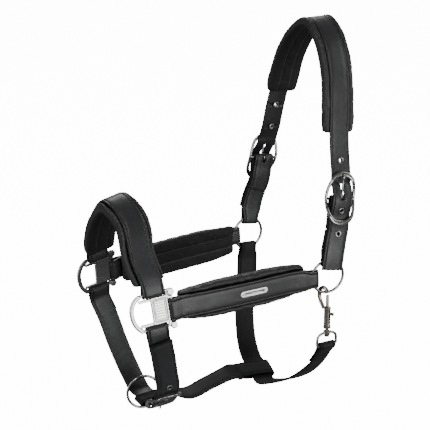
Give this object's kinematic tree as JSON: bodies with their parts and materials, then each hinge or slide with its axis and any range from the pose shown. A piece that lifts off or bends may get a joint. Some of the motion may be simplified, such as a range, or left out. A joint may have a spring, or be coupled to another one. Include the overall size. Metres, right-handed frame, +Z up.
{
  "type": "leather headcollar",
  "caption": "Padded leather headcollar with buckled crown, ringed cheeks, cast side fittings, adjustable chin strap and a throat strap closed by a bolt snap.",
  "frame": {"origin": "underside of the crown pad's lining at its top, where the headcollar hangs on the horse's poll", "axes": "+X from the nose to the back of the head, +Y from the horse's left (near) side to its right (far) side, +Z up"},
  "size_m": [0.3021, 0.1996, 0.4508],
  "materials": {
    "strap_leather": "black vegetable-tanned strap leather, waxed, satin, creased and stitched edges",
    "pad_leather": "soft black nappa leather over foam, fine grain",
    "soft_lining": "soft black lining leather, matt",
    "pad_foam": "closed-cell foam, hidden inside the pads",
    "polished_nickel": "polished nickel plate",
    "warm_nickel": "polished nickel plate on zinc casting, slightly warm",
    "satin_cast": "light satin cast nickel",
    "spring_steel": "drawn spring wire, hidden in the snap's barrel"
  },
  "bodies": {
    "headcollar": {"buckle_frame_far": "polished_nickel", "buckle_frame_near": "polished_nickel", "buckle_strap_far": "strap_leather", "buckle_strap_near": "strap_leather", "cheek_far_pad_cover": "pad_leather", "cheek_far_pad_foam": "pad_foam", "cheek_far_pad_lining": "soft_lining", "cheek_near_pad_cover": "pad_leather", "cheek_near_pad_foam": "pad_foam", "cheek_near_pad_lining": "soft_lining", "cheek_ring_far": "polished_nickel", "cheek_ring_near": "polished_nickel", "cheek_strap_far": "strap_leather", "cheek_strap_near": "strap_leather", "chin_buckle_frame": "polished_nickel", "chin_buckle_strap": "strap_leather", "chin_eyelet_1": "polished_nickel", "chin_eyelet_2": "polished_nickel", "chin_strap": "strap_leather", "crown_eyelet_far_1": "polished_nickel", "crown_eyelet_far_2": "polished_nickel", "crown_eyelet_far_3": "polished_nickel", "crown_eyelet_near_1": "polished_nickel", "crown_eyelet_near_2": "polished_nickel", "crown_eyelet_near_3": "polished_nickel", "crown_pad_cover": "pad_leather", "crown_pad_foam": "pad_foam", "crown_pad_lining": "soft_lining", "crown_strap": "strap_leather", "jaw_strap": "strap_leather", "name_plate": "satin_cast", "name_plate_pin_1": "satin_cast", "name_plate_pin_2": "satin_cast", "nose_pad_cover": "pad_leather", "nose_pad_foam": "pad_foam", "nose_pad_lining": "soft_lining", "nose_strap": "strap_leather", "side_fitting_far": "satin_cast", "side_fitting_near": "satin_cast", "snap_eye": "warm_nickel", "throat_strap": "strap_leather"},
    "near_tongue": {"buckle_tongue_near": "polished_nickel"},
    "far_tongue": {"buckle_tongue_far": "polished_nickel"},
    "chin_tongue": {"chin_buckle_tongue": "polished_nickel"},
    "lead_ring": {"lead_ring": "polished_nickel"},
    "snap_hook": {"snap_hook": "warm_nickel", "snap_spring": "spring_steel"},
    "snap_bolt": {"snap_bolt": "warm_nickel"}
  },
  "joints": [
    {"name": "near_tongue_hinge", "type": "hinge", "parent": "headcollar", "child": "near_tongue", "pos_m": [-0.0212, -0.0846, -0.18145], "axis": [0.9902, -0.0247, -0.1377], "range_deg": [0, 30]},
    {"name": "far_tongue_hinge", "type": "hinge", "parent": "headcollar", "child": "far_tongue", "pos_m": [-0.0194, 0.0845, -0.17575], "axis": [-0.9902, -0.0247, 0.1377], "range_deg": [0, 30]},
    {"name": "chin_tongue_hinge", "type": "hinge", "parent": "headcollar", "child": "chin_tongue", "pos_m": [-0.221, -0.028, -0.40525], "axis": [-0.9836, 0.1468, -0.1046], "range_deg": [0, 30]},
    {"name": "lead_ring_swing", "type": "hinge", "parent": "headcollar", "child": "lead_ring", "pos_m": [-0.22, 0.0225, -0.41825], "axis": [0.9848, -0.1736, 0], "range_deg": [-5, 18]},
    {"name": "snap_swivel", "type": "hinge", "parent": "headcollar", "child": "snap_hook", "pos_m": [-0.0408, -0.09372, -0.31999], "axis": [0, 0, 1], "range_deg": [-28, 0]},
    {"name": "snap_bolt_slide", "type": "slide", "parent": "snap_hook", "child": "snap_bolt", "axis": [0, 0, -1], "range_m": [0, 0.008], "stiffness_N_per_m": 120, "springref_m": -0.005, "deforming": ["snap_spring"]}
  ]
}
